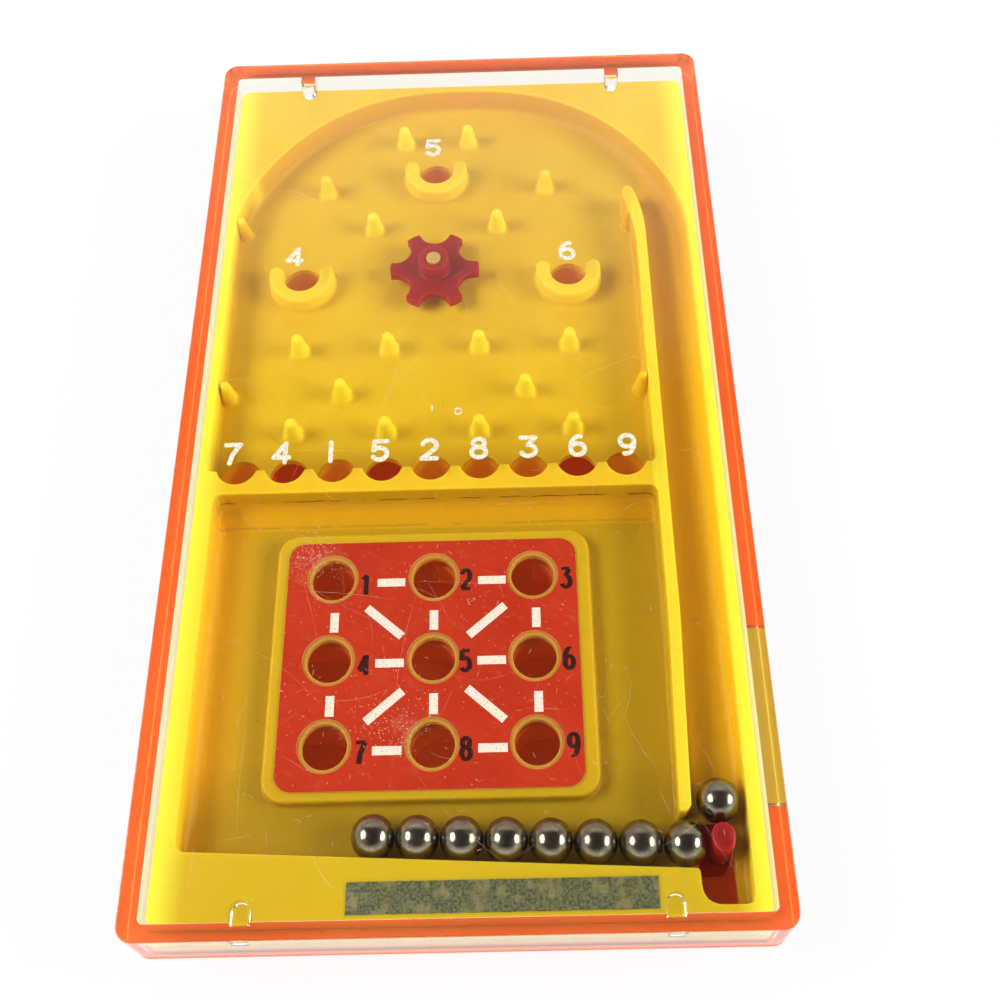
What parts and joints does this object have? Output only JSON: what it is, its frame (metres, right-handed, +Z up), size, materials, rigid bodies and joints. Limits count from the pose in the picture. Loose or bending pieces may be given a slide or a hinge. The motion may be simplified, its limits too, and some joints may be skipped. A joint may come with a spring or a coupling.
{
  "type": "pocket pinball game",
  "caption": "Flat pocket pinball game: a clear lid over a tray with pins, cups, a spinner, a ball lane and a target board, on a base with ball channels and a sprung plunger.",
  "frame": {"origin": "middle of the flat underside", "axes": "+Z up out of the clear window, +Y towards the arched end of the field, +X towards the ball lane"},
  "size_m": [0.069, 0.12, 0.0155],
  "materials": {
    "base": "glossy moulded orange-red plastic",
    "tray": "satin moulded yellow plastic",
    "cover": "clear moulded plastic with fine scratches",
    "target_label": "printed red label",
    "foil_strip": "worn grey-green foil",
    "spinner": "moulded dark red plastic",
    "spinner_axle": "pale moulded plastic",
    "plunger": "moulded red plastic",
    "spring": "bright spring wire",
    "ball": "polished steel, slightly dulled"
  },
  "bodies": {
    "case": {"base": "base", "tray": "tray", "cover": "cover", "target_label": "target_label", "foil_strip": "foil_strip", "spinner_axle": "spinner_axle", "plunger_spring": "spring"},
    "spinner": {"spinner": "spinner"},
    "plunger": {"plunger": "plunger"},
    "ball_1": {"ball_1": "ball"},
    "ball_2": {"ball_2": "ball"},
    "ball_3": {"ball_3": "ball"},
    "ball_4": {"ball_4": "ball"},
    "ball_5": {"ball_5": "ball"},
    "ball_6": {"ball_6": "ball"},
    "ball_7": {"ball_7": "ball"},
    "ball_8": {"ball_8": "ball"},
    "ball_9": {"ball_9": "ball"}
  },
  "joints": [
    {"name": "spinner_turn", "type": "hinge", "parent": "case", "child": "spinner", "pos_m": [-0.00355, 0.0258, 0.0093], "axis": [0, 0, 1], "continuous": true},
    {"name": "plunger_pull", "type": "slide", "parent": "case", "child": "plunger", "axis": [0, -1, 0], "range_m": [0, 0.0036], "stiffness_N_per_m": 120, "springref_m": -0.001, "deforming": ["plunger_spring"]},
    {"name": "lane_ball_roll", "type": "slide", "parent": "case", "child": "ball_9", "axis": [0.004, 1, 0], "range_m": [0, 0.074]},
    {"name": "row_ball_1_roll", "type": "slide", "parent": "case", "child": "ball_1", "axis": [-0.9988, 0.0493, 0], "range_m": [0, 0.018]},
    {"name": "row_ball_2_roll", "type": "slide", "parent": "case", "child": "ball_2", "axis": [-0.9988, 0.0493, 0], "range_m": [0, 0.018]},
    {"name": "row_ball_3_roll", "type": "slide", "parent": "case", "child": "ball_3", "axis": [-0.9988, 0.0493, 0], "range_m": [0, 0.018]},
    {"name": "row_ball_4_roll", "type": "slide", "parent": "case", "child": "ball_4", "axis": [-0.9988, 0.0493, 0], "range_m": [0, 0.018]},
    {"name": "row_ball_5_roll", "type": "slide", "parent": "case", "child": "ball_5", "axis": [-0.9988, 0.0493, 0], "range_m": [0, 0.018]},
    {"name": "row_ball_6_roll", "type": "slide", "parent": "case", "child": "ball_6", "axis": [-0.9988, 0.0493, 0], "range_m": [0, 0.018]},
    {"name": "row_ball_7_roll", "type": "slide", "parent": "case", "child": "ball_7", "axis": [-0.9988, 0.0493, 0], "range_m": [0, 0.018]},
    {"name": "row_ball_8_roll", "type": "slide", "parent": "case", "child": "ball_8", "axis": [-0.9988, 0.0493, 0], "range_m": [0, 0.018]}
  ],
  "couplings": [
    {"joint": "row_ball_2_roll", "follows": "row_ball_1_roll", "ratio": 1},
    {"joint": "row_ball_3_roll", "follows": "row_ball_1_roll", "ratio": 1},
    {"joint": "row_ball_4_roll", "follows": "row_ball_1_roll", "ratio": 1},
    {"joint": "row_ball_5_roll", "follows": "row_ball_1_roll", "ratio": 1},
    {"joint": "row_ball_6_roll", "follows": "row_ball_1_roll", "ratio": 1},
    {"joint": "row_ball_7_roll", "follows": "row_ball_1_roll", "ratio": 1},
    {"joint": "row_ball_8_roll", "follows": "row_ball_1_roll", "ratio": 1}
  ]
}
